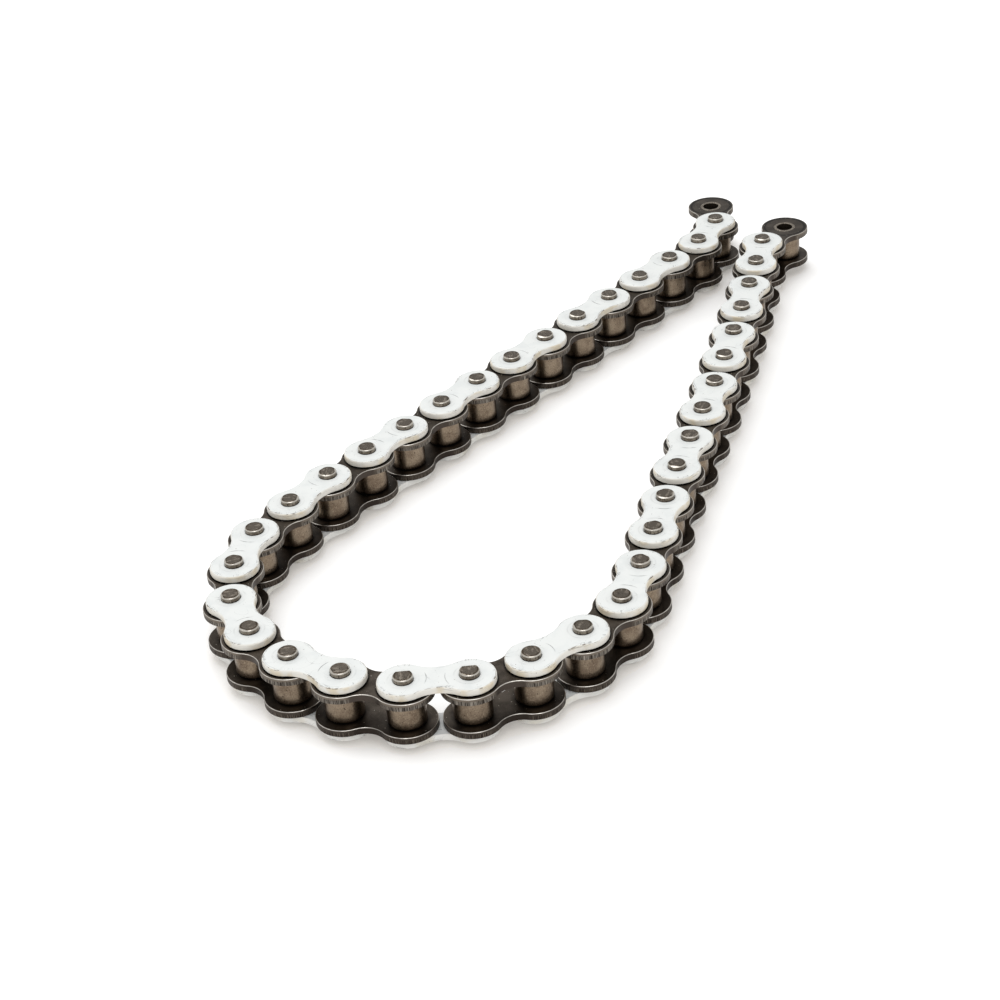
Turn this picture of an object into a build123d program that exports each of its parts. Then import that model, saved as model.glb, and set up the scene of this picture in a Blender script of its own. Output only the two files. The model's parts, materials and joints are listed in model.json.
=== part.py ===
"""Drive chain of a small motorcycle, lying on its side as an open loop with both ends free.

A chain of this kind is made of two sorts of link that take turns. An inner link is two plates
with two bushes pressed into them, and a roller turns on each bush. An outer link is two lower
plates with two pins pressed through them and riveted over. Each pin turns inside a bush of the
next inner link, and that is the joint between the two links. Both end links are inner ones, so
each end offers a free bush for the pin of a connecting link.

The chain lies on the lower ends of its pins, in the plane Z = 0. Its pins stand along Z, and its
open end points along +Y. X = Y = 0 is the middle of the ground that it covers. All lengths are
millimetres and all angles degrees.
"""

import os
from math import atan2, cos, degrees, hypot, radians, sin

from build123d import *

# Sizes of the running gear
PITCH = 12.70
INNER_WIDTH = 6.35
PIN_DIAMETER = 3.97
BUSH_WALL = 0.78
ROLLER_WALL = 1.01

# Sizes of the plates
INNER_PLATE_THICKNESS = 1.50
OUTER_PLATE_THICKNESS = 1.50
INNER_END_GAP = 0.70
OUTER_END_GAP = 2.30
INNER_WAIST_DEPTH = 2.10
OUTER_WAIST_DEPTH = 1.70

# Riveted ends of the pins
PIN_HEAD_LENGTH = 1.05
PIN_HEAD_BEVEL = 0.32

# Clearances of the pieces that move on each other
PIN_CLEARANCE = 0.03
ROLLER_CLEARANCE = 0.08
ROLLER_SIDE_PLAY = 0.10
PLATE_SIDE_PLAY = 0.15

# The course of the chain: the heading of its first link, then the turn at each joint in order,
# down the left strand, round the front bend and back up the right strand.
FIRST_HEADING = -62
LEFT_STRAND_TURNS = [-26, -15, 0, 0, 0, 0, 0, 0, 0, 0, 0, 0]
FRONT_BEND_TURNS = [4, 4, 18, 17, 20, 19, 15, 17, 18, 20, 15, 14, 19, 5]
RIGHT_STRAND_TURNS = [0, 0, -2, 0, 0, 2, 0, 1, 0, 1, 0, -20]

# How many inner links, from the first one of the front bend on, have rollers in nodes of their own
FREE_ROLLER_LINKS = 10

# Sizes that follow from the ones above
PIN_RADIUS = PIN_DIAMETER / 2
BUSH_BORE_RADIUS = PIN_RADIUS + PIN_CLEARANCE
BUSH_RADIUS = BUSH_BORE_RADIUS + BUSH_WALL
ROLLER_BORE_RADIUS = BUSH_RADIUS + ROLLER_CLEARANCE
ROLLER_RADIUS = ROLLER_BORE_RADIUS + ROLLER_WALL
ROLLER_LENGTH = INNER_WIDTH - 2 * ROLLER_SIDE_PLAY
BUSH_LENGTH = INNER_WIDTH + 2 * INNER_PLATE_THICKNESS
OUTER_WIDTH = BUSH_LENGTH + 2 * PLATE_SIDE_PLAY
PIN_LENGTH = OUTER_WIDTH + 2 * (OUTER_PLATE_THICKNESS + PIN_HEAD_LENGTH)
INNER_END_RADIUS = (PITCH - INNER_END_GAP) / 2
OUTER_END_RADIUS = (PITCH - OUTER_END_GAP) / 2


def plate(end_radius, waist_depth, hole_radius, thickness):
    """A figure-eight plate round two holes one pitch apart, centred on the origin."""
    half_pitch = PITCH / 2
    half_waist = end_radius - waist_depth
    # The waist is an arc that touches both round ends, with its centre beside the plate.
    waist_radius = (half_pitch**2 + half_waist**2 - end_radius**2) / (2 * waist_depth)
    share = end_radius / (end_radius + waist_radius)
    touch_x = half_pitch * (1 - share)
    touch_y = (half_waist + waist_radius) * share
    tip_x = half_pitch + end_radius
    outline = make_face(
        [
            ThreePointArc((touch_x, -touch_y), (tip_x, 0), (touch_x, touch_y)),
            ThreePointArc((touch_x, touch_y), (0, half_waist), (-touch_x, touch_y)),
            ThreePointArc((-touch_x, touch_y), (-tip_x, 0), (-touch_x, -touch_y)),
            ThreePointArc((-touch_x, -touch_y), (0, -half_waist), (touch_x, -touch_y)),
        ]
    )
    holes = Pos(-half_pitch, 0) * Circle(hole_radius) + Pos(half_pitch, 0) * Circle(hole_radius)
    return extrude(outline - holes, thickness / 2, both=True)


def tube(outer_radius, bore_radius, length):
    """A plain tube along Z, centred on the origin."""
    return extrude(Circle(outer_radius) - Circle(bore_radius), length / 2, both=True)


def riveted_pin():
    """A pin along Z, centred on the origin, its two ends bevelled where they are riveted."""
    shank = extrude(Circle(PIN_RADIUS), PIN_LENGTH / 2, both=True)
    return chamfer(shank.edges().filter_by(GeomType.CIRCLE), PIN_HEAD_BEVEL)


def plate_pair(one_plate, inside_width, thickness):
    """The upper and lower plate of a link, with the given width between them."""
    height = (inside_width + thickness) / 2
    return {"upper_plate": Pos(0, 0, height) * one_plate, "lower_plate": Pos(0, 0, -height) * one_plate}


def end_pair(name, piece):
    """A piece at the first hole of a link and its twin at the second."""
    return {
        f"{name}_a": Pos(-PITCH / 2, 0) * piece,
        f"{name}_b": Pos(PITCH / 2, 0) * piece,
    }


def inner_link():
    """Two plates and the two bushes pressed into them, by name, about the link's middle."""
    inner_plate = plate(INNER_END_RADIUS, INNER_WAIST_DEPTH, BUSH_RADIUS, INNER_PLATE_THICKNESS)
    bush = tube(BUSH_RADIUS, BUSH_BORE_RADIUS, BUSH_LENGTH)
    return plate_pair(inner_plate, INNER_WIDTH, INNER_PLATE_THICKNESS) | end_pair("bush", bush)


def outer_link():
    """Two plates and the two pins pressed through them, by name, about the link's middle."""
    outer_plate = plate(OUTER_END_RADIUS, OUTER_WAIST_DEPTH, PIN_RADIUS, OUTER_PLATE_THICKNESS)
    return plate_pair(outer_plate, OUTER_WIDTH, OUTER_PLATE_THICKNESS) | end_pair("pin", riveted_pin())


def pin_axes():
    """Where the axes of the bushes stand, in order along the chain, centred on the origin."""
    heading = FIRST_HEADING
    axes = [(0.0, 0.0)]
    for turn in [*LEFT_STRAND_TURNS, *FRONT_BEND_TURNS, *RIGHT_STRAND_TURNS, 0]:
        x, y = axes[-1]
        axes.append((x + PITCH * cos(radians(heading)), y + PITCH * sin(radians(heading))))
        heading += turn
    middle_x = (min(x for x, y in axes) + max(x for x, y in axes)) / 2
    middle_y = (min(y for x, y in axes) + max(y for x, y in axes)) / 2
    return [(x - middle_x, y - middle_y) for x, y in axes]


def link_places():
    """The place of each link: its middle, on the chain's mid-plane, turned along its heading."""
    axes = pin_axes()
    places = []
    for (x1, y1), (x2, y2) in zip(axes, axes[1:]):
        heading = degrees(atan2(y2 - y1, x2 - x1))
        places.append(Location(((x1 + x2) / 2, (y1 + y2) / 2, PIN_LENGTH / 2), (0, 0, heading)))
    return places


def write_node(name, pieces, place):
    """Writes a node's pieces, moved from a link's own middle to its place in the chain."""
    placed = []
    for label, piece in pieces.items():
        solid = place * piece
        solid.label = label
        placed.append(solid)
    export_step(Compound(label=name, children=placed), f"parts/{name}.step")


def main():
    os.makedirs("parts", exist_ok=True)
    inner_pieces = inner_link()
    outer_pieces = outer_link()
    rollers = end_pair("roller", tube(ROLLER_RADIUS, ROLLER_BORE_RADIUS, ROLLER_LENGTH))
    first_free = (len(LEFT_STRAND_TURNS) + 1) // 2 + 1
    for index, place in enumerate(link_places()):
        if index % 2:
            write_node(f"outer_link_{index // 2 + 1:02d}", outer_pieces, place)
            continue
        number = index // 2 + 1
        name = f"inner_link_{number:02d}"
        if not first_free <= number < first_free + FREE_ROLLER_LINKS:
            write_node(name, inner_pieces | rollers, place)
            continue
        write_node(name, inner_pieces, place)
        for end in "ab":
            roller = {f"roller_{end}": rollers[f"roller_{end}"]}
            write_node(f"roller_{number:02d}_{end}", roller, place)


main()
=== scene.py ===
"""Looks of a small motorcycle's drive chain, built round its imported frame.

The chain lies on its side. Outer links with painted plates and inner links of dark steel take
turns, and a riveted pin joins each pair. Every plate, pin, bush and roller is modelled once on the
bench, in millimetres about its own middle, and copied to its places along the chain.
"""

import json
import logging
import math
import random
from collections.abc import Callable, Iterator, Mapping
from contextlib import contextmanager
from dataclasses import dataclass, field, replace
from enum import Enum
from functools import reduce
from operator import mul
from typing import Any

import bmesh
import bpy
from mathutils import Euler, Matrix, Vector

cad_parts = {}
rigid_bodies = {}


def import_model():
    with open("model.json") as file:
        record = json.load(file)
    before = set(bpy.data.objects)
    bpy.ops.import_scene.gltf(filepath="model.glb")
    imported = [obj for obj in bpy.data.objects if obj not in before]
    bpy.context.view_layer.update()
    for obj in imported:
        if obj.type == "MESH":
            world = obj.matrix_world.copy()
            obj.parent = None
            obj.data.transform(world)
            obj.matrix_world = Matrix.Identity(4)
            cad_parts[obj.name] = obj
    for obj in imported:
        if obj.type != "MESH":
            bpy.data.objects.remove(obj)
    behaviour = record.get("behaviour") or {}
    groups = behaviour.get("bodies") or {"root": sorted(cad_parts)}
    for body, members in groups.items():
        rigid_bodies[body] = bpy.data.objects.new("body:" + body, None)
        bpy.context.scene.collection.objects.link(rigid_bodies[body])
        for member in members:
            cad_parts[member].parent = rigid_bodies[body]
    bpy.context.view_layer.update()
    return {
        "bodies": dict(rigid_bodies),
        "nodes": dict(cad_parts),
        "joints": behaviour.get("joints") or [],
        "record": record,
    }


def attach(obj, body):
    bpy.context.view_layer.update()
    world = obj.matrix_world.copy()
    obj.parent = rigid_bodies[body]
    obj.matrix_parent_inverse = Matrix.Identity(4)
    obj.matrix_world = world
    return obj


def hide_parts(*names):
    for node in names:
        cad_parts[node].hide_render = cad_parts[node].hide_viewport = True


LOG = logging.getLogger("chain")

MM = 0.001
WELD = 0.01
TOUCH = 0.002
OWN_PLACE = "own_place"
OWN_CHANCE = "own_chance"
ENDS = ("a", -1), ("b", 1)
UNTURNED = Matrix.Identity(4)
TURNED_OVER = Matrix.Rotation(math.pi, 4, "X")

Colour = tuple[float, float, float, float]
Daylight = tuple[int, int, int]


def linear(colour: Daylight) -> Colour:
    """Turns a colour as a picture holds it into one that a shader takes.

    Args:
        colour: Red, green and blue from 0 to 255.

    Returns:
        The same colour as linear red, green, blue and an alpha of 1.
    """
    shares = [part / 255 for part in colour]
    return (*[s / 12.92 if s <= 0.04045 else ((s + 0.055) / 1.055) ** 2.4 for s in shares], 1.0)


class Slot(Enum):
    """The finishes that the part's record names."""

    WHITE_PAINT = "white_paint"
    DARK_STEEL = "dark_steel"
    ROLLER_STEEL = "roller_steel"
    PIN_STEEL = "pin_steel"


@dataclass(frozen=True)
class Finish:
    """A finished material.

    Attributes:
        slot: The record's name for it.
        material: The material itself.
    """

    slot: Slot
    material: bpy.types.Material


class Element(Enum):
    """What is picked on a mesh in edit mode."""

    VERTEX = "VERT"
    EDGE = "EDGE"
    FACE = "FACE"


# Bench work


def take(piece: bpy.types.Object) -> None:
    """Selects one object alone and makes it the active one."""
    bpy.ops.object.select_all(action="DESELECT")
    piece.select_set(True)
    bpy.context.view_layer.objects.active = piece


@contextmanager
def editing(piece: bpy.types.Object) -> Iterator[None]:
    """Opens one object in edit mode for the lines under it.

    Args:
        piece: The object to shape.

    Yields:
        Nothing; the object is back in object mode afterwards.
    """
    take(piece)
    bpy.ops.object.mode_set(mode="EDIT")
    yield
    bpy.ops.object.mode_set(mode="OBJECT")


def pick(element: Element, test: Callable[[Vector], bool]) -> None:
    """Selects what lies in a certain place on the mesh in edit mode, and nothing else.

    Args:
        element: Whether vertices, edges or faces are picked.
        test: Tells from a corner's place whether it belongs; all corners of a picked one do.
    """
    bpy.ops.mesh.select_mode(type=element.value)
    bpy.ops.mesh.select_all(action="DESELECT")
    data = bpy.context.edit_object.data
    mesh = bmesh.from_edit_mesh(data)
    if element is Element.VERTEX:
        for vertex in mesh.verts:
            vertex.select_set(test(vertex.co))
    else:
        for part in mesh.edges if element is Element.EDGE else mesh.faces:
            if all(test(corner.co) for corner in part.verts):
                part.select_set(True)
    bmesh.update_edit_mesh(data)


def apply_modifier(piece: bpy.types.Object, kind: str, **settings: Any) -> None:
    """Adds a modifier to an object and applies it.

    Args:
        piece: The object to change.
        kind: The modifier's type.
        **settings: The modifier's settings by name.
    """
    take(piece)
    modifier = piece.modifiers.new(kind.lower(), kind)
    for name, value in settings.items():
        setattr(modifier, name, value)
    bpy.ops.object.modifier_apply(modifier=modifier.name)


def fix_place(piece: bpy.types.Object) -> None:
    """Moves an object's place, turn and size into its mesh."""
    take(piece)
    bpy.ops.object.transform_apply(location=True, rotation=True, scale=True)


def close_up() -> None:
    """Welds the seams of the mesh in edit mode and turns its faces outwards."""
    bpy.ops.mesh.select_mode(type="VERT")
    bpy.ops.mesh.select_all(action="SELECT")
    bpy.ops.mesh.remove_doubles(threshold=WELD)
    bpy.ops.mesh.normals_make_consistent(inside=False)


def complete(piece: bpy.types.Object, sharp_angle: float = 40) -> bpy.types.Object:
    """Smooths a modelled piece and notes each vertex's place on it for the patterns.

    Args:
        piece: The piece, about its own middle and in millimetres.
        sharp_angle: Edges that turn by more than this many degrees stay sharp.

    Returns:
        The same piece.
    """
    take(piece)
    bpy.ops.object.shade_smooth_by_angle(angle=math.radians(sharp_angle))
    apply_modifier(piece, "WEIGHTED_NORMAL", keep_sharp=True)
    places = [part for vertex in piece.data.vertices for part in vertex.co]
    own_place = piece.data.attributes.new(OWN_PLACE, "FLOAT_VECTOR", "POINT")
    own_place.data.foreach_set("vector", places)
    return piece


# Shader work


@dataclass(frozen=True)
class Value:
    """A number that a shader node gives, with the signs of arithmetic.

    Attributes:
        graph: The material's nodes, where sums add their own.
        socket: The node's output.
    """

    graph: "Graph"
    socket: bpy.types.NodeSocket

    def __add__(self, other: "Value | float") -> "Value":
        """This plus other."""
        return self.graph.maths("ADD", self, other)

    __radd__ = __add__

    def __sub__(self, other: "Value | float") -> "Value":
        """This less other."""
        return self.graph.maths("SUBTRACT", self, other)

    def __rsub__(self, other: float) -> "Value":
        """The number other less this."""
        return self.graph.maths("SUBTRACT", other, self)

    def __mul__(self, other: "Value | float") -> "Value":
        """This times other."""
        return self.graph.maths("MULTIPLY", self, other)

    __rmul__ = __mul__

    def __truediv__(self, other: "Value | float") -> "Value":
        """This divided by other."""
        return self.graph.maths("DIVIDE", self, other)

    def __abs__(self) -> "Value":
        """This without its sign."""
        return self.graph.maths("ABSOLUTE", self)

    def rises(self, low: float, high: float) -> "Value":
        """Goes smoothly from 0 where this is low to 1 where it is high."""
        node = self.graph.add(
            "ShaderNodeMapRange",
            {"interpolation_type": "SMOOTHSTEP"},
            {"Value": self, "From Min": low, "From Max": high},
        )
        return Value(self.graph, node.outputs["Result"])

    def falls(self, low: float, high: float) -> "Value":
        """Goes smoothly from 1 where this is low to 0 where it is high."""
        return 1 - self.rises(low, high)

    def near(self, middle: "Value | float", reach: float) -> "Value":
        """Is 1 where this equals middle and falls to 0 at reach on both sides."""
        return abs(self - middle).falls(0, reach)


class Graph:
    """The shader nodes of one material."""

    def __init__(self, name: str) -> None:
        """Starts an empty material with its coordinates in millimetres.

        Args:
            name: The material's name.
        """
        self.material = bpy.data.materials.new(name)
        self.material.use_nodes = True
        self.nodes = self.material.node_tree.nodes
        self.nodes.clear()
        metres = self.add("ShaderNodeTexCoord").outputs["Object"]
        self.place = self.stretched(metres, (1 / MM, 1 / MM, 1 / MM))
        own_place = self.add("ShaderNodeAttribute", {"attribute_name": OWN_PLACE})
        self.own_place = own_place.outputs["Vector"]
        parts = self.add("ShaderNodeSeparateXYZ", {}, {"Vector": self.own_place})
        self.x, self.y, self.z = (Value(self, output) for output in parts.outputs)
        own_chance = self.add("ShaderNodeAttribute", {"attribute_name": OWN_CHANCE})
        self.chance = Value(self, own_chance.outputs["Fac"])

    def add(
        self,
        kind: str,
        settings: Mapping[str, Any] | None = None,
        sockets: Mapping[str | int, Any] | None = None,
    ) -> bpy.types.Node:
        """Adds a node.

        Args:
            kind: The node's type.
            settings: The node's own settings by name, which are set first.
            sockets: A value, a number or a node's output for each named or numbered input.

        Returns:
            The new node.
        """
        node = self.nodes.new(kind)
        for name, setting in (settings or {}).items():
            setattr(node, name, setting)
        for key, given in (sockets or {}).items():
            source = given.socket if isinstance(given, Value) else given
            if isinstance(source, bpy.types.NodeSocket):
                self.material.node_tree.links.new(source, node.inputs[key])
            else:
                node.inputs[key].default_value = source
        return node

    def maths(self, operation: str, *terms: Value | float) -> Value:
        """Gives the result of one Math node on the terms in order."""
        node = self.add("ShaderNodeMath", {"operation": operation}, dict(enumerate(terms)))
        return Value(self, node.outputs[0])

    def both(self, *masks: Value) -> Value:
        """Gives a mask that holds only where all the given ones do."""
        return reduce(mul, masks)

    def either(self, *masks: Value) -> Value:
        """Gives a mask that holds where any of the given ones does."""
        return reduce(lambda most, mask: self.maths("MAXIMUM", most, mask), masks)

    def stretched(
        self, vector: bpy.types.NodeSocket, times: tuple[float, float, float]
    ) -> bpy.types.NodeSocket:
        """Gives coordinates multiplied along each axis."""
        node = self.add("ShaderNodeVectorMath", {"operation": "MULTIPLY"}, {0: vector, 1: times})
        return node.outputs["Vector"]

    def vector(self, *parts: Value | float) -> bpy.types.NodeSocket:
        """Puts three values together as coordinates."""
        return self.add("ShaderNodeCombineXYZ", {}, dict(enumerate(parts))).outputs["Vector"]

    def noise(
        self, per_mm: float, detail: float = 2, where: bpy.types.NodeSocket | None = None
    ) -> Value:
        """Gives uneven values from about 0.2 to 0.8, with no two links alike.

        Args:
            per_mm: How many lumps there are to a millimetre.
            detail: How many finer layers are added.
            where: Other coordinates than the chain's own.

        Returns:
            The noise.
        """
        sockets = {"Vector": where or self.place, "Scale": per_mm, "Detail": detail}
        return Value(self, self.add("ShaderNodeTexNoise", {}, sockets).outputs["Fac"])

    def blend(self, mask: Value, under: Any, over: Any) -> bpy.types.NodeSocket:
        """Lays one colour over another.

        Args:
            mask: 0 where the lower colour shows and 1 where the upper one does.
            under: The lower colour, as a socket or as daylight red, green and blue.
            over: The upper colour, likewise.

        Returns:
            The colour's socket.
        """
        colours = [linear(c) if isinstance(c, tuple) else c for c in (under, over)]
        node = self.add(
            "ShaderNodeMix",
            {"data_type": "RGBA", "clamp_factor": True},
            {0: mask, 6: colours[0], 7: colours[1]},
        )
        return node.outputs[2]

    def coats(self, colour: Any, *coats: tuple[Value, Any]) -> bpy.types.NodeSocket:
        """Lays colours over a first one in order, each where its own mask is 1."""
        for mask, over in coats:
            colour = self.blend(mask, colour, over)
        return colour

    def surface(
        self,
        slot: Slot,
        colour: bpy.types.NodeSocket,
        roughness: Value,
        metallic: Value | float,
        height: Value,
        height_mm: float,
    ) -> Finish:
        """Joins the surface shader to the material's output.

        Args:
            slot: The record's name for the finish.
            colour: The base colour.
            roughness: The roughness.
            metallic: The share of bare metal.
            height: The relief, 0 to 1.
            height_mm: How high a relief of 1 stands.

        Returns:
            The finish.
        """
        relief = self.add(
            "ShaderNodeBump", {}, {"Height": height, "Strength": 1.0, "Distance": height_mm * MM}
        )
        shader = self.add(
            "ShaderNodeBsdfPrincipled",
            {},
            {
                "Base Color": colour,
                "Roughness": roughness,
                "Metallic": metallic,
                "Normal": relief.outputs["Normal"],
            },
        )
        self.add("ShaderNodeOutputMaterial", {}, {"Surface": shader.outputs["BSDF"]})
        return Finish(slot, self.material)


# The pieces


@dataclass(frozen=True)
class Plate:
    """A punched figure-eight plate round two holes, in millimetres.

    It lies flat about its own middle with the holes along X. Punching rolls its upper edge over
    and tears its lower side.

    Attributes:
        pitch: The distance between the holes.
        end_radius: The radius of the round ends.
        waist_depth: How much narrower each side is at the waist.
        hole_radius: The radius of the holes.
        thickness: The plate's thickness.
        edge_roll: The radius of the rolled upper edge.
        edge_break: The radius of the lower edge and of the holes' edges.
        hole_steps: Corners round each hole.
        end_steps: Corners along half of a round end.
        waist_steps: Corners along half a waist.
    """

    pitch: float
    end_radius: float
    waist_depth: float
    hole_radius: float
    thickness: float
    edge_roll: float
    edge_break: float = 0.08
    hole_steps: int = 48
    end_steps: int = 32
    waist_steps: int = 10

    @property
    def half_pitch(self) -> float:
        """How far each hole is from the middle."""
        return self.pitch / 2

    @property
    def half_waist(self) -> float:
        """Half the plate's width at its waist."""
        return self.end_radius - self.waist_depth

    @property
    def waist_radius(self) -> float:
        """The radius of the waist's arc, which touches both round ends."""
        squares = self.half_pitch**2 + self.half_waist**2 - self.end_radius**2
        return squares / (2 * self.waist_depth)

    @property
    def waist_centre(self) -> float:
        """How far beside the plate's middle the waist's arc has its centre."""
        return self.half_waist + self.waist_radius

    def depth_at(self, corner: Vector) -> float:
        """How far inside the outline a point of the plate lies."""
        x, y = abs(corner.x), abs(corner.y)
        if x / self.half_pitch + y / self.waist_centre < 1:
            return math.hypot(x, y - self.waist_centre) - self.waist_radius
        return self.end_radius - math.hypot(x - self.half_pitch, y)

    def from_hole(self, corner: Vector) -> float:
        """How far a point of the plate lies from the middle of the nearer hole."""
        return math.hypot(abs(corner.x) - self.half_pitch, corner.y)

    def draw_quarter(self, name: str) -> bpy.types.Object:
        """Draws a quarter of the flat plate, from its middle to the tip of one end.

        Args:
            name: The object's name.

        Returns:
            A single flat face.
        """
        bpy.ops.object.select_all(action="DESELECT")
        hole_at = (self.half_pitch, 0, 0)
        bpy.ops.mesh.primitive_circle_add(
            vertices=self.hole_steps, radius=self.hole_radius, location=hole_at
        )
        plate = bpy.context.object
        plate.name = name
        fix_place(plate)
        waist_turn = math.atan2(self.half_pitch, self.waist_centre)
        end_turn = math.pi / 2 + waist_turn
        hole_edges = self.half_pitch - self.hole_radius, self.half_pitch + self.hole_radius
        with editing(plate):
            bpy.ops.mesh.select_all(action="SELECT")
            bpy.ops.mesh.bisect(plane_co=(0, 0, 0), plane_no=(0, 1, 0), clear_inner=True)
            pick(Element.VERTEX, lambda c: c.x > hole_edges[1] - WELD)
            bpy.ops.mesh.extrude_vertices_move(
                TRANSFORM_OT_translate={"value": (self.end_radius - self.hole_radius, 0, 0)}
            )
            # With no window, spin turns the other way round
            for centre, turn, steps in (
                (hole_at, -end_turn, self.end_steps),
                ((0, self.waist_centre, 0), waist_turn, self.waist_steps),
            ):
                bpy.ops.mesh.spin(steps=steps, angle=turn, center=centre, axis=(0, 0, 1))
            bpy.ops.mesh.extrude_vertices_move(
                TRANSFORM_OT_translate={"value": (0, -self.half_waist, 0)}
            )
            pick(Element.VERTEX, lambda c: abs(c.y) < WELD and c.x < hole_edges[0] + WELD)
            bpy.ops.mesh.edge_face_add()
            bpy.ops.mesh.select_all(action="SELECT")
            bpy.ops.mesh.edge_face_add()
        return plate

    def model(self, name: str) -> bpy.types.Object:
        """Makes the plate.

        Args:
            name: The object's name.

        Returns:
            The plate, flat about its own middle.
        """
        plate = self.draw_quarter(name)
        apply_modifier(plate, "MIRROR", use_axis=(True, True, False), merge_threshold=WELD)
        apply_modifier(plate, "SOLIDIFY", thickness=self.thickness, offset=0)
        top = self.thickness / 2

        def outline(corner: Vector) -> bool:
            """Tells whether a corner lies on the plate's outline."""
            return self.depth_at(corner) < 2 * WELD

        def rim(corner: Vector) -> bool:
            """Tells whether a corner lies on the rim of a hole."""
            return self.from_hole(corner) < self.hole_radius + WELD

        with editing(plate):
            close_up()
            for on_edge, level, radius, steps in (
                (outline, top, self.edge_roll, 5),
                (outline, -top, self.edge_break, 2),
                (rim, top, self.edge_break, 2),
                (rim, -top, self.edge_break, 2),
            ):
                pick(Element.EDGE, lambda c: abs(c.z - level) < TOUCH and on_edge(c))
                bpy.ops.mesh.bevel(offset=radius, segments=steps, profile=0.5, clamp_overlap=False)
            close_up()
        return complete(plate)

    def depth(self, graph: Graph) -> Value:
        """Gives a shader the distance in from the outline, in millimetres."""
        across, along = abs(graph.x), abs(graph.y)
        in_waist = graph.maths(
            "LESS_THAN", across / self.half_pitch + along / self.waist_centre, 1.0
        )
        beside = along - self.waist_centre
        waist = graph.maths("SQRT", across * across + beside * beside) - self.waist_radius
        end = self.end_radius - self.hole_distance(graph)
        return in_waist * waist + (1 - in_waist) * end

    def hole_distance(self, graph: Graph) -> Value:
        """Gives a shader the distance from the middle of the nearer hole, in millimetres."""
        along = abs(graph.x) - self.half_pitch
        return graph.maths("SQRT", along * along + graph.y * graph.y)

    def edge_run(self, graph: Graph) -> Value:
        """Gives a shader the way along the outline from the tip of an end, in millimetres."""
        turn = graph.maths("ARCTAN2", graph.y, abs(graph.x) - self.half_pitch)
        return turn * self.end_radius

    def end_chance(self, graph: Graph) -> Value:
        """Gives a shader a number from 0 to 1 that differs from each plate's end to the next."""
        second = graph.maths("GREATER_THAN", graph.x, 0.0)
        return graph.maths("FRACT", graph.chance * 7 + second * 0.37)


@dataclass(frozen=True)
class Tube:
    """A turned tube about Z, in millimetres.

    Attributes:
        outer_radius: Its outer radius.
        bore_radius: The radius of its bore.
        length: Its length.
        outer_round: The radius of its outer edges.
        bore_round: The radius of its bore's edges.
        steps: Corners round the tube.
    """

    outer_radius: float
    bore_radius: float
    length: float
    outer_round: float
    bore_round: float
    steps: int = 64

    def model(self, name: str) -> bpy.types.Object:
        """Makes the tube by spinning the section of its wall.

        Args:
            name: The object's name.

        Returns:
            The tube, upright about its own middle.
        """
        wall = self.outer_radius - self.bore_radius
        middle = (self.bore_radius + wall / 2, 0, 0)
        bpy.ops.object.select_all(action="DESELECT")
        bpy.ops.mesh.primitive_plane_add(size=1, location=middle, rotation=(math.pi / 2, 0, 0))
        tube = bpy.context.object
        tube.name = name
        fix_place(tube)
        with editing(tube):
            bpy.ops.mesh.select_all(action="SELECT")
            bpy.ops.transform.resize(value=(wall, 1, self.length), center_override=middle)
            bpy.ops.mesh.delete(type="ONLY_FACE")
            pick(Element.VERTEX, lambda c: c.x > middle[0])
            bpy.ops.mesh.bevel(affect="VERTICES", offset=self.outer_round, segments=4)
            pick(Element.VERTEX, lambda c: c.x < self.bore_radius + WELD)
            bpy.ops.mesh.bevel(affect="VERTICES", offset=self.bore_round, segments=2)
            bpy.ops.mesh.select_all(action="SELECT")
            bpy.ops.mesh.spin(
                steps=self.steps, angle=math.tau, center=(0, 0, 0), axis=(0, 0, 1)
            )
            close_up()
        return complete(tube)


class PinHead(Enum):
    """How the riveting tool left a pin's end: each blow's heading and its reach from the axis."""

    ROUND = ()
    CUT = ((0, 1.2),)
    STRUCK_TWICE = ((20, 1.52), (200, 1.56))
    STRUCK_ROUND = ((0, 1.58), (105, 1.54), (235, 1.6))


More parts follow.
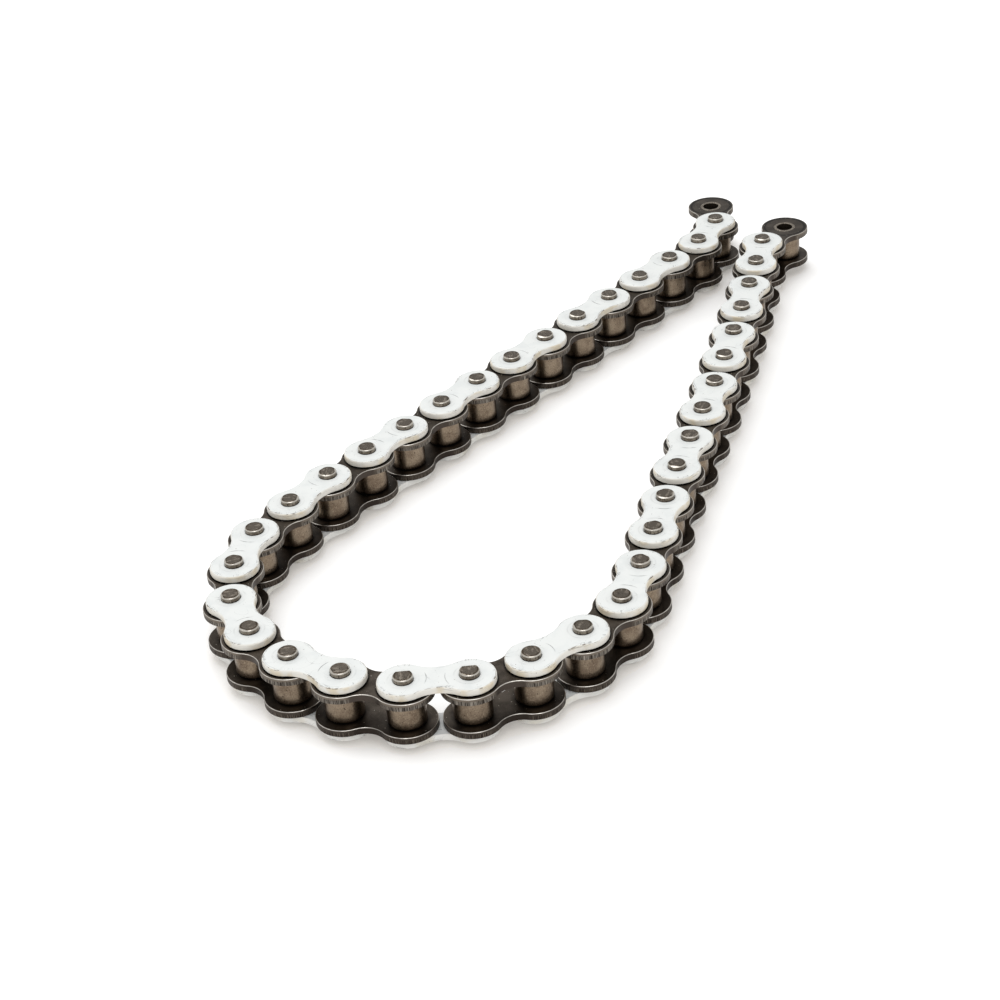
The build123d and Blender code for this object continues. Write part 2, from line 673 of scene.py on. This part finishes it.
@dataclass(frozen=True)
class Pin:
    """A pin along Z, riveted at both ends, in millimetres.

    Attributes:
        radius: Its radius.
        length: Its length over both heads.
        head_round: The radius of the rounding that riveting leaves.
        blow_slope: The slope of a blow's flat, in degrees from level.
        dish_depth: How deep the tool pressed the middle of each end.
        steps: Corners round the pin.
    """

    radius: float = 1.985
    length: float = 14.75
    head_round: float = 0.28
    blow_slope: float = 32
    dish_depth: float = 0.03
    steps: int = 56

    def strike(self, heading: float, reach: float, end: int) -> None:
        """Cuts the flat of one blow on an end of the pin in edit mode.

        Args:
            heading: Which way the flat faces, in degrees.
            reach: How far from the axis it starts.
            end: 1 for the upper end and -1 for the lower one.
        """
        turn, slope = math.radians(heading), math.radians(self.blow_slope)
        out = Vector((math.cos(turn), math.sin(turn), 0))
        start = out * reach + Vector((0, 0, end * self.length / 2))
        bpy.ops.mesh.select_all(action="SELECT")
        bpy.ops.mesh.bisect(
            plane_co=start,
            plane_no=out * math.sin(slope) + Vector((0, 0, end * math.cos(slope))),
            use_fill=True,
            clear_outer=True,
        )

    def model(self, name: str, head: PinHead) -> bpy.types.Object:
        """Makes the pin.

        Args:
            name: The object's name.
            head: How its ends were riveted.

        Returns:
            The pin, upright about its own middle.
        """
        bpy.ops.object.select_all(action="DESELECT")
        bpy.ops.mesh.primitive_cylinder_add(
            vertices=self.steps, radius=self.radius, depth=self.length
        )
        pin = bpy.context.object
        pin.name = name
        tip = self.length / 2
        with editing(pin):
            for end in (1, -1):
                pick(Element.EDGE, lambda c: abs(c.z - end * tip) < TOUCH)
                bpy.ops.mesh.bevel(offset=self.head_round, segments=4, profile=0.42)
                pick(Element.FACE, lambda c: abs(c.z - end * tip) < TOUCH)
                bpy.ops.mesh.inset(thickness=self.head_round / 2)
                bpy.ops.mesh.inset(thickness=self.head_round / 2)
                bpy.ops.transform.translate(value=(0, 0, -end * self.dish_depth))
                for heading, reach in head.value:
                    self.strike(heading, reach, end)
            close_up()
        return complete(pin, sharp_angle=25)


# The finishes


@dataclass(frozen=True)
class WhitePaint:
    """White paint on an outer plate, thin and creamy on its side, chipped and rubbed at its edge.

    Attributes:
        plate: The plate that it covers, whose outline the wear follows.
        face: The colour of the flat faces.
        cloud: The colour of the slight clouds in them.
        side: The colour of the side.
        cream: The colour of the patches on the side where the paint is thin.
        bare: The colour of a chip.
        rub: The colour of a rub mark.
        tool_arc: The smallest radius of the arcs that tools rubbed round a pin.
        faint_ring: The radius of the faint grey ring round a pin.
        ring_edge: Where the paint rises round the flat that riveting pressed.
        relief: How high the paint's relief stands.
    """

    plate: Plate
    face: Daylight = (243, 246, 245)
    cloud: Daylight = (234, 238, 238)
    side: Daylight = (247, 244, 236)
    cream: Daylight = (235, 223, 199)
    bare: Daylight = (92, 72, 55)
    rub: Daylight = (124, 127, 127)
    tool_arc: float = 4.0
    faint_ring: float = 3.05
    ring_edge: tuple[float, float] = (2.7, 3.3)
    relief: float = 0.03

    def edge_wear(self, graph: Graph, depth: Value) -> tuple[Value, Value]:
        """Lays out the wear of the rolled edge.

        Args:
            graph: The material's nodes.
            depth: The distance in from the outline.

        Returns:
            The masks of the chips and of the fine scratches beside them.
        """
        over = depth + graph.z - self.plate.thickness / 2
        run, start = self.plate.edge_run(graph), self.plate.end_chance(graph) * 60
        crowd = graph.noise(1, 0, graph.vector(run * 0.2, 0, start + 30)).rises(0.4, 0.58)
        lumps = graph.noise(1, 4, graph.vector(run * 0.9, over * 3, start))
        chips = graph.both(over.near(0.05, 0.34), crowd, lumps.rises(0.555, 0.58))
        streaks = graph.noise(1, 2, graph.vector(run * 0.45, over * 8, start))
        near_edge = graph.both(over.rises(-0.8, -0.3), over.falls(0.45, 0.9))
        scratches = graph.both(near_edge, crowd, streaks.rises(0.56, 0.62))
        bumped = graph.noise(1, 0, graph.vector(run * 0.17, 0, start + 90)).rises(0.55, 0.62)
        strokes = graph.noise(1, 1, graph.vector(run * 3.2, over * 0.5, start + 50))
        on_face = graph.both(over.rises(0.15, 0.3), over.falls(0.6, 1.0))
        nicks = graph.both(on_face, bumped, strokes.rises(0.58, 0.64))
        return chips, graph.either(scratches, nicks * 0.8)

    def rub_marks(self, graph: Graph, radius: Value) -> Value:
        """Lays out the arcs that tools rubbed beside the pins, and a few hairlines.

        Args:
            graph: The material's nodes.
            radius: The distance from the middle of the nearer hole.

        Returns:
            The marks' mask.
        """
        chance = self.plate.end_chance(graph)
        waist_side = abs(graph.x).falls(self.plate.half_pitch - 3.2, self.plate.half_pitch - 2.6)
        stretch = abs(graph.y + (chance - 0.5) * 2).falls(0.8, 2.1)
        patches = 0.5 + graph.noise(0.9, 3).rises(0.4, 0.6) * 0.5
        line = radius.near(self.tool_arc + chance * 0.8, 0.16)
        arcs = graph.both(line, waist_side, stretch, chance.rises(0.3, 0.34), patches)
        # A faint grey ring round each pin, near the edge of the pressed flat, and grey patches
        # round its foot.
        ring = radius.near(self.faint_ring, 0.3) * graph.noise(0.4, 2).rises(0.4, 0.7) * 0.16
        hairlines = graph.noise(0.3, 0).near(0.5, 0.005) * graph.noise(0.2, 0).rises(0.56, 0.62)
        foot = radius.falls(self.plate.hole_radius + 0.05, self.plate.hole_radius + 0.28)
        grey_pin_foot = foot * graph.noise(1.5, 3).rises(0.45, 0.62)
        return graph.either(arcs * 0.9, ring, hairlines * 0.4, grey_pin_foot)

    def make(self) -> Finish:
        """Makes the finish."""
        graph = Graph(Slot.WHITE_PAINT.value)
        depth, radius = self.plate.depth(graph), self.plate.hole_distance(graph)
        cloud, grain = graph.noise(0.28, 3), graph.noise(1.6, 4)

        thin = graph.noise(0.24, 2).rises(0.45, 0.68)
        chips, scratches = self.edge_wear(graph, depth)
        rubbed = graph.either(scratches * 0.6, self.rub_marks(graph, radius))
        bare = graph.either(chips, graph.noise(2.6, 2).rises(0.745, 0.765))
        colour = graph.coats(
            self.face,
            (cloud.rises(0.42, 0.7) * 0.8, self.cloud),
            (depth.falls(0, self.plate.edge_roll * 0.8), graph.blend(thin, self.side, self.cream)),
            (rubbed, self.rub),
            (bare, self.bare),
        )

        height = grain * 0.4 + radius.rises(*self.ring_edge) * 0.5 - bare * 0.8 - rubbed * 0.2
        roughness = 0.33 + cloud * 0.14 + bare * 0.25
        return graph.surface(Slot.WHITE_PAINT, colour, roughness, 0.0, height, self.relief)


@dataclass(frozen=True)
class DarkSteel:
    """Dark heat-treated steel of an inner plate, bright on its rolled edge and torn below it.

    Attributes:
        plate: The plate that it covers.
        face: The colour of the flat faces.
        shade: The colour of the darker clouds in them.
        graze: The colour of the fine scuffs on them.
        rim: The colour of the polished upper edge.
        sheared: The colour of the smooth upper part of the side.
        waist: The colour of the side at the waist, which is smooth all the way down.
        torn: The colour of the rough lower part of the side.
        fleck: The colour of the bright flecks in it.
        painted_shadow: The colour of the painted shadow along the edge of the outer plate that lies
            on it, and round the rollers.
        dust: The colour of single specks.
        shadow_side: 1 where the outer plate lies on the upper face and -1 where on the lower one.
        shadow_radius: The radius of the outer plate's round ends, where the painted shadow lies.
        roller_oil: From where to where the painted shade round a roller fades out, from the
            roller's axis.
        tear: From where to where the side starts to be torn, below the upper edge.
        relief: How high the steel's relief stands.
    """

    plate: Plate
    shadow_side: int
    shadow_radius: float
    face: Daylight = (84, 77, 70)
    shade: Daylight = (62, 56, 50)
    graze: Daylight = (122, 112, 101)
    rim: Daylight = (248, 243, 235)
    sheared: Daylight = (122, 112, 101)
    waist: Daylight = (78, 70, 64)
    torn: Daylight = (48, 41, 36)
    fleck: Daylight = (198, 189, 177)
    painted_shadow: Daylight = (20, 16, 14)
    dust: Daylight = (190, 184, 174)
    roller_oil: tuple[float, float] = (4.0, 4.9)
    tear: tuple[float, float] = (-0.62, -0.42)
    relief: float = 0.03

    def make(self) -> Finish:
        """Makes the finish."""
        graph = Graph(Slot.DARK_STEEL.value)
        depth, radius = self.plate.depth(graph), self.plate.hole_distance(graph)
        top, half_pitch = self.plate.thickness / 2, self.plate.half_pitch
        over = depth + graph.z - top
        run, start = self.plate.edge_run(graph), self.plate.end_chance(graph) * 60
        grain, cloud = graph.noise(5, 4), graph.noise(0.35, 4)

        # Painted shadow: a dark ring on the face along the edge of the outer plate that lies on it,
        # and a darker ring round each roller on the other face.
        shadowed_face = (graph.z * self.shadow_side).rises(top - 0.1, top - 0.02)
        painted_shade = shadowed_face * radius.near(self.shadow_radius, 0.5)
        shade_round_roller = (1 - shadowed_face) * radius.falls(*self.roller_oil) * 0.45

        side = depth.falls(0.01, 0.05)
        round_end = abs(graph.x).rises(half_pitch * 0.42, half_pitch * 0.62)
        uneven = (graph.noise(1, 3, graph.vector(run * 3, 0, start)) - 0.5) * 0.6
        torn = graph.both(side, (over + uneven).falls(*self.tear), round_end)
        ticks = graph.noise(1, 1, graph.vector(run * 12, over * 0.4, start))
        crowd = graph.noise(1, 1, graph.vector(run * 4.5, over * 0.2, start + 20)).rises(0.1, 0.8)
        flecks = torn * ticks.rises(0.32, 0.68) * crowd
        polished = over.near(0.03, 0.18) * (0.7 + graph.noise(0.7, 3).rises(0.4, 0.62) * 0.3)
        colour = graph.coats(
            self.face,
            (cloud.rises(0.35, 0.65), self.shade),
            (grain.rises(0.52, 0.72) * 0.4, self.graze),
            (graph.either(painted_shade, shade_round_roller), self.painted_shadow),
            (graph.noise(1.9, 1).rises(0.74, 0.76), self.dust),
            (side, self.sheared),
            (side * (1 - round_end), self.waist),
            (torn, self.torn),
            (flecks * 0.75, self.fleck),
            (polished, self.rim),
        )

        roughness = 0.32 + grain * 0.16 + torn * 0.1 - polished * 0.12
        height = grain * 0.3 + torn * (ticks - 0.9)
        return graph.surface(Slot.DARK_STEEL, colour, roughness, 1.0, height, self.relief)


@dataclass(frozen=True)
class BushSteel:
    """Ground steel of a bush, whose ends show where no outer plate covers them.

    Attributes:
        bush: The bush that it covers.
        face: The colour of the steel.
        worn: The colour of the scuffed ends.
        relief: How high the scuffs stand.
    """

    bush: Tube
    face: Daylight = (104, 94, 84)
    worn: Daylight = (168, 160, 148)
    relief: float = 0.02

    def make(self) -> Finish:
        """Makes the finish."""
        graph = Graph("bush_steel")
        scuffs = graph.noise(3, 4)
        ends = abs(graph.z).rises(self.bush.length / 2 - 0.1, self.bush.length / 2 - 0.02)
        mask = ends * scuffs.rises(0.38, 0.6)
        colour = graph.blend(mask, self.face, self.worn)
        roughness = 0.42 - mask * 0.12
        return graph.surface(Slot.DARK_STEEL, colour, roughness, 1.0, scuffs, self.relief)


@dataclass(frozen=True)
class RollerSteel:
    """Tempered bronze-brown steel of a roller, with fine turning lines and dark specks.

    Attributes:
        roller: The roller that it covers.
        face: The colour of its side.
        shade: The darker colour that tempering leaves.
        speck: The colour of the specks, and of the painted reflection of the dark plates at its
            ends.
        bright: The colour of the lightest mottles.
        relief: How high the steel's relief stands.
    """

    roller: Tube
    face: Daylight = (152, 136, 117)
    shade: Daylight = (118, 102, 86)
    speck: Daylight = (52, 43, 36)
    bright: Daylight = (190, 174, 152)
    relief: float = 0.009

    def make(self) -> Finish:
        """Makes the finish."""
        graph = Graph(Slot.ROLLER_STEEL.value)
        grain, cloud = graph.noise(3.5, 3), graph.noise(0.4, 3)
        lines = graph.noise(1, 3, graph.stretched(graph.place, (0.25, 0.25, 7)))
        half = self.roller.length / 2
        # Painted reflection: the roller darkens towards both ends, next to the dark inner plates.
        ends = abs(graph.z).rises(half - 0.8, half - 0.05) * 0.75
        specks = graph.noise(1.7, 2).rises(0.7, 0.73)
        colour = graph.coats(
            self.face,
            (cloud.rises(0.3, 0.75), self.shade),
            ((lines - 0.5).rises(0, 0.25) * 0.3, self.shade),
            (grain.falls(0.32, 0.48) * 0.3, self.speck),
            (grain.rises(0.54, 0.7) * 0.4, self.bright),
            (graph.either(ends, specks), self.speck),
        )

        roughness = 0.24 + grain * 0.1 + specks * 0.2
        height = grain * 0.5 + lines * 0.5 - specks
        return graph.surface(Slot.ROLLER_STEEL, colour, roughness, 1.0, height, self.relief)


@dataclass(frozen=True)
class PinSteel:
    """Grey steel of a pin, dark on its flat ends and bright where riveting rounded it.

    Attributes:
        pin: The pin that it covers.
        end: The colour of the flat ends.
        scuff: The colour of the scuffs on them.
        shank: The colour of the side.
        struck: The colour of the rounded edge.
        pit: The colour of pits and of the painted shadow line at its foot.
        above_plate: How far the pin stands above the outer plate.
        relief: How high the steel's relief stands.
    """

    pin: Pin
    end: Daylight = (80, 70, 59)
    scuff: Daylight = (144, 134, 122)
    shank: Daylight = (140, 131, 120)
    struck: Daylight = (218, 213, 204)
    pit: Daylight = (50, 42, 36)
    above_plate: float = 1.05
    relief: float = 0.03

    def make(self) -> Finish:
        """Makes the finish."""
        graph = Graph(Slot.PIN_STEEL.value)
        tip = self.pin.length / 2
        radius = graph.maths("SQRT", graph.x * graph.x + graph.y * graph.y)
        height = abs(graph.z)
        scuffs, cloud = graph.noise(3.2, 4), graph.noise(0.7, 3)

        turn = graph.maths("ARCTAN2", graph.y, graph.x)
        ticks = graph.noise(1, 3, graph.vector(turn * 5, graph.z * 0.6, graph.chance * 60))
        inside = radius.falls(self.pin.radius - 0.02, self.pin.radius)
        flat = height.rises(tip - 0.07, tip - 0.02)
        smears = graph.noise(1, 3, graph.vector(graph.x * 0.7, graph.y * 1.6, graph.chance * 60))
        pits = graph.either(
            flat * (scuffs * 0.5 + cloud * 0.5).rises(0.57, 0.64) * 0.8,
            graph.noise(2.4, 2).rises(0.7, 0.74),
        )
        # Painted shadow: a dark line round the pin's foot, where it meets the outer plate.
        plate_top = tip - self.above_plate
        foot = height.falls(plate_top + 0.01, plate_top + 0.13)
        colour = graph.coats(
            self.shank,
            (cloud.rises(0.4, 0.6) * 0.7, self.end),
            (ticks.rises(0.52, 0.66) * 0.7, self.pit),
            (inside * height.rises(tip - 0.4, tip - 0.24), self.struck),
            (flat, graph.blend(smears.rises(0.5, 0.68), self.end, self.scuff)),
            (graph.either(pits, foot * 0.8), self.pit),
        )

        roughness, rough = 0.2 + scuffs * 0.12 + pits * 0.2, scuffs * 0.3 - pits
        return graph.surface(Slot.PIN_STEEL, colour, roughness, 1.0, rough, self.relief)


# The links


@dataclass(frozen=True)
class LinkPlace:
    """Where a link lies in the chain.

    Attributes:
        name: The link's body and node in the frame.
        start: The axis of its first hole, in metres.
        stop: The axis of its second hole, in metres.
    """

    name: str
    start: Vector
    stop: Vector

    @property
    def heading(self) -> float:
        """The way from its first hole to its second, in radians from +X."""
        along = self.stop - self.start
        return math.atan2(along.y, along.x)

    def seat(self, offset: Vector, turn: Matrix) -> Matrix:
        """Gives the place of a piece of the link.

        Args:
            offset: The piece's middle on the bench, from the link's own, in millimetres.
            turn: How the piece is turned on the bench first.

        Returns:
            The matrix from the piece's millimetres to the frame's metres.
        """
        middle = Matrix.Translation((self.start + self.stop) / 2)
        link = middle @ Matrix.Rotation(self.heading, 4, "Z") @ Matrix.Scale(MM, 4)
        return link @ Matrix.Translation(offset) @ turn

    def fit(
        self,
        part: str,
        master: bpy.types.Object,
        finish: Finish,
        draw: random.Random,
        offset: tuple[float, float, float],
        turn: Matrix = UNTURNED,
        body: str | None = None,
    ) -> bpy.types.Object:
        """Copies a modelled piece to its place on the link, with a mesh of its own.

        Args:
            part: What the piece is called on the link.
            master: The piece on the bench.
            finish: Its finish.
            draw: Where the chance that makes its wear its own comes from.
            offset: The piece's middle from the link's own, in millimetres.
            turn: How the piece is turned on the bench first.
            body: The body of the frame that it rides on, if that isn't the link.

        Returns:
            The new piece.
        """
        piece = master.copy()
        piece.data = master.data.copy()
        piece.name = piece.data.name = f"{self.name}_{part}"
        bpy.context.scene.collection.objects.link(piece)
        piece.data.transform(self.seat(Vector(offset), turn))
        piece.data.materials.clear()
        piece.data.materials.append(finish.material)
        own_chance = piece.data.attributes.new(OWN_CHANCE, "FLOAT", "POINT")
        own_chance.data.foreach_set("value", [draw.random()] * len(piece.data.vertices))
        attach(piece, body or self.name)
        return piece


@dataclass
class OuterLink:
    """Two painted plates and the two pins pressed through them, in millimetres.

    Attributes:
        plate: The painted plate.
        pin: The riveted pin.
        width: The distance between the plates.
        lower_roll: The radius of the lower plate's rolled edge, which punching rounded less.
        heads: The sorts of riveted end that take turns along the chain.
    """

    plate: Plate = Plate(
        pitch=12.70,
        end_radius=5.2,
        waist_depth=1.7,
        hole_radius=1.985,
        thickness=1.5,
        edge_roll=0.44,
        edge_break=0.2,
    )
    pin: Pin = Pin()
    width: float = 9.65
    lower_roll: float = 0.16
    heads: tuple[PinHead, ...] = (PinHead.ROUND, PinHead.STRUCK_ROUND, PinHead.STRUCK_TWICE)

    def prepare(self) -> None:
        """Models the plate and each sort of pin once, and makes their finishes."""
        self.upper_master = self.plate.model("upper_outer_plate")
        lower_plate = replace(self.plate, edge_roll=self.lower_roll)
        self.lower_master = lower_plate.model("lower_outer_plate")
        self.pin_masters = {head: self.pin.model(f"pin_{head.name}", head) for head in PinHead}
        paint = WhitePaint(self.plate)
        # Painted light: the lower plates' paint is lighter than the upper ones', to make up for the
        # shade that they lie in under the chain.
        shade_lifted_paint = replace(paint, face=(250, 251, 250), side=(252, 251, 247), cream=(246, 241, 229))
        self.upper_paint, self.lower_paint = paint.make(), shade_lifted_paint.make()
        self.pin_steel = PinSteel(self.pin).make()

    def build(self, place: LinkPlace, draw: random.Random, faced: float | None) -> None:
        """Builds one outer link.

        Args:
            place: Where it lies.
            draw: Where the chances of its wear and its pins' turns come from.
            faced: Which way its pins' cut flats face, in degrees from +X, if they have any.
        """
        lift = (self.width + self.plate.thickness) / 2
        upper, lower, below = self.upper_master, self.lower_master, (0, 0, -lift)
        piece = place.fit("upper_plate", upper, self.upper_paint, draw, (0, 0, lift))
        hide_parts(place.name)
        place.fit("lower_plate", lower, self.lower_paint, draw, below, TURNED_OVER)
        for end, side in ENDS:
            if faced is None:
                head, angle = draw.choice(self.heads), draw.uniform(0, math.tau)
            else:
                head, angle = PinHead.CUT, math.radians(faced) - place.heading
            offset, turn = (side * self.plate.half_pitch, 0, 0), Matrix.Rotation(angle, 4, "Z")
            place.fit(f"pin_{end}", self.pin_masters[head], self.pin_steel, draw, offset, turn)


@dataclass
class InnerLink:
    """Two dark plates, the two bushes pressed into them and their rollers, in millimetres.

    Attributes:
        plate: The dark plate.
        bush: The bush.
        roller: The roller that turns on it.
        width: The distance between the plates.
        outer_end: The radius of the ends of the outer plates that lie on them.
    """

    plate: Plate = Plate(
        pitch=12.70,
        end_radius=6.0,
        waist_depth=2.1,
        hole_radius=2.795,
        thickness=1.5,
        edge_roll=0.2,
    )
    bush: Tube = Tube(2.795, 2.015, 9.35, outer_round=0.1, bore_round=0.12, steps=48)
    roller: Tube = Tube(3.885, 2.875, 6.15, outer_round=0.28, bore_round=0.1)
    width: float = 6.35
    outer_end: float = 5.2

    def prepare(self) -> None:
        """Models the plate, the bush and the roller once, and makes their finishes."""
        self.plate_master = self.plate.model("inner_plate")
        self.bush_master = self.bush.model("bush")
        self.roller_master = self.roller.model("roller")
        upper_steel = DarkSteel(self.plate, shadow_side=1, shadow_radius=self.outer_end)
        # Painted shade: the lower plates' sides, waists and flecks are darker copies of the upper
        # ones', for the shaded floor that they face close to the chain.
        painted_shade = {"sheared": (78, 70, 64), "waist": (58, 51, 46), "fleck": (140, 130, 119)}
        lower_steel = replace(upper_steel, shadow_side=-1, **painted_shade)
        self.upper_steel, self.lower_steel = upper_steel.make(), lower_steel.make()
        self.bush_steel = BushSteel(self.bush).make()
        self.roller_steel = RollerSteel(self.roller).make()

    def build(self, place: LinkPlace, draw: random.Random, rollers: Mapping[str, str]) -> None:
        """Builds one inner link.

        Args:
            place: Where it lies.
            draw: Where the chances of its wear come from.
            rollers: The body of each roller that turns by itself, by its end of the link.
        """
        lift = (self.width + self.plate.thickness) / 2
        upper = place.fit("upper_plate", self.plate_master, self.upper_steel, draw, (0, 0, lift))
        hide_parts(place.name)
        place.fit("lower_plate", self.plate_master, self.lower_steel, draw, (0, 0, -lift))
        for end, side in ENDS:
            at = side * self.plate.half_pitch, 0, 0
            place.fit(f"bush_{end}", self.bush_master, self.bush_steel, draw, at)
            body, steel = rollers.get(end), self.roller_steel
            roller = place.fit(f"roller_{end}", self.roller_master, steel, draw, at, body=body)
            if body:
                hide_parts(body)


@dataclass
class Chain:
    """The whole chain, link after link along the frame's joints.

    Attributes:
        outer_link: How an outer link is built.
        inner_link: How an inner link is built.
        cut_link: The outer link whose pins have one long flat.
        cut_faces: Which way those flats face, in degrees from +X.
        seed: The start of the chance draws.
    """

    outer_link: OuterLink = field(default_factory=OuterLink)
    inner_link: InnerLink = field(default_factory=InnerLink)
    cut_link: str = "outer_link_11"
    cut_faces: float = 120
    seed: int = 7

    def places(self, frame: Mapping[str, Any]) -> list[LinkPlace]:
        """Works out where every link lies.


        Returns:
            The links' places in order, from the left end to the right one.
        """
        mounts = {mount["name"]: mount["pos_m"] for mount in frame["record"]["mounts"]}
        pins = [joint["pos_m"] for joint in frame["joints"] if joint["name"].startswith("pin_")]
        axes = [Vector(p) for p in (mounts["left_end_bush"], *pins, mounts["right_end_bush"])]
        kinds = "inner", "outer"
        return [
            LinkPlace(f"{kinds[n % 2]}_link_{n // 2 + 1:02d}", axes[n], axes[n + 1])
            for n in range(len(axes) - 1)
        ]

    def build(self, frame: Mapping[str, Any]) -> None:
        """Builds every link in its place.
        """
        packed = set(bpy.data.objects)
        self.outer_link.prepare()
        self.inner_link.prepare()
        masters = [piece for piece in bpy.data.objects if piece not in packed]
        draw = random.Random(self.seed)
        for place in self.places(frame):
            if place.name.startswith("outer"):
                faced = self.cut_faces if place.name == self.cut_link else None
                self.outer_link.build(place, draw, faced)
            else:
                names = {end: f"{place.name.replace('inner_link', 'roller')}_{end}" for end in "ab"}
                free = {end: name for end, name in names.items() if name in frame["bodies"]}
                self.inner_link.build(place, draw, free)
            LOG.info("built %s", place.name)
        for master in masters:
            bpy.data.objects.remove(master)


# The studio


@dataclass(frozen=True)
class Softbox:
    """A square lamp, in metres and watts.

    Attributes:
        name: Its name.
        place: Where it hangs.
        aim: What it points at.
        side: The length of its side.
        watts: Its power.
    """

    name: str
    place: tuple[float, float, float]
    aim: tuple[float, float, float]
    side: float
    watts: float

    def hang(self) -> None:
        """Adds the lamp."""
        lamp = bpy.data.lights.new(self.name, "AREA")
        lamp.size, lamp.energy = self.side, self.watts
        holder = bpy.data.objects.new(self.name, lamp)
        holder.location = self.place
        way = Vector(self.aim) - Vector(self.place)
        holder.rotation_euler = way.to_track_quat("-Z", "Y").to_euler()
        bpy.context.scene.collection.objects.link(holder)


@dataclass(frozen=True)
class Studio:
    """A pale floor under soft light, seen from where the photograph was taken.

    Attributes:
        floor_radius: The floor's radius, in metres.
        floor: The floor's colour.
        shaded_floor: Its colour close to the chain, where little light comes in under the plates.
        shade_reach: How far that shade reaches, in metres.
        floor_glow: What the floor adds for the camera, so that it shows as white.
        floor_shine: What it adds for reflections.
        sky: The colour of the light from all round.
        sky_level: Its strength.
        lamps: The lamps.
        camera_place: The camera's place, in metres.
        heading: Which way it looks, in degrees from +X.
        tilt: How far below the horizon it looks, in degrees.
        roll: How far it leans to the right, in degrees.
        lens: Its focal length on a sensor 36 mm wide.
    """

    floor_radius: float = 4.0
    floor: Daylight = (240, 240, 240)
    shaded_floor: Daylight = (204, 200, 195)
    shade_reach: float = 0.008
    floor_glow: float = 0.48
    floor_shine: float = 0.12
    sky: Daylight = (255, 254, 252)
    sky_level: float = 0.62
    lamps: tuple[Softbox, ...] = (
        Softbox("back", (-0.35, 0.15, 0.9), (0, 0, 0), 0.7, 2.7),
        Softbox("front", (0.25, -0.5, 0.8), (0, 0, 0), 0.6, 2.0),
    )
    camera_place: tuple[float, float, float] = (0.19895, -0.38817, 0.25771)
    heading: float = 119.826
    tilt: float = 31.668
    roll: float = 5.235
    lens: float = 78.28

    def lay_floor(self) -> None:
        """Adds the floor, level with the chain's lowest point."""
        bpy.ops.object.select_all(action="DESELECT")
        bpy.ops.mesh.primitive_circle_add(
            vertices=96, radius=self.floor_radius, fill_type="NGON", location=(0, 0, 0)
        )
        floor = bpy.context.object
        floor.name = "floor"
        graph = Graph("floor")
        shelter = graph.add(
            "ShaderNodeAmbientOcclusion", {"samples": 4}, {"Distance": self.shade_reach}
        )
        open_air = Value(graph, shelter.outputs["AO"]).rises(0.32, 0.92)
        rays = graph.add("ShaderNodeLightPath").outputs
        seen, mirrored = (Value(graph, rays[name]) for name in ("Is Camera Ray", "Is Glossy Ray"))
        shade = (1 - open_air) * (seen + mirrored)
        tone = graph.blend(shade, self.floor, self.shaded_floor)
        cloth = graph.add("ShaderNodeBsdfDiffuse", {}, {"Color": tone})
        strength = seen * self.floor_glow + mirrored * self.floor_shine
        glow = graph.add("ShaderNodeEmission", {}, {"Color": tone, "Strength": strength})
        both = graph.add(
            "ShaderNodeAddShader", {}, {0: cloth.outputs["BSDF"], 1: glow.outputs["Emission"]}
        )
        graph.add("ShaderNodeOutputMaterial", {}, {"Surface": both.outputs["Shader"]})
        floor.data.materials.append(graph.material)

    def fill_sky(self) -> None:
        """Lights the scene from all round."""
        world = bpy.data.worlds.new("sky")
        world.use_nodes = True
        background = world.node_tree.nodes["Background"]
        background.inputs["Color"].default_value = linear(self.sky)
        background.inputs["Strength"].default_value = self.sky_level
        bpy.context.scene.world = world

    def set_camera(self) -> None:
        """Sets the camera up at the photograph's place and angle."""
        lens = bpy.data.cameras.new("camera")
        lens.lens, lens.sensor_width, lens.sensor_fit = self.lens, 36, "HORIZONTAL"
        lens.clip_start, lens.clip_end = 0.01, 20
        camera = bpy.data.objects.new("camera", lens)
        looks = Euler((math.radians(90 - self.tilt), 0, math.radians(self.heading - 90)))
        lean = Matrix.Rotation(math.radians(-self.roll), 4, "Z")
        camera.matrix_world = (
            Matrix.Translation(self.camera_place) @ looks.to_matrix().to_4x4() @ lean
        )
        bpy.context.scene.collection.objects.link(camera)
        bpy.context.scene.camera = camera

    def build(self) -> None:
        """Sets up the floor, the light and the camera."""
        self.lay_floor()
        self.fill_sky()
        for lamp in self.lamps:
            lamp.hang()
        self.set_camera()
        bpy.context.scene.view_settings.view_transform = "Standard"


def main() -> None:
    """Builds the chain round its frame, and the studio round the chain."""
    logging.basicConfig(level=logging.INFO, format="%(message)s")
    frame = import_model()
    Chain().build(frame)
    Studio().build()


if __name__ == "__main__":
    main()
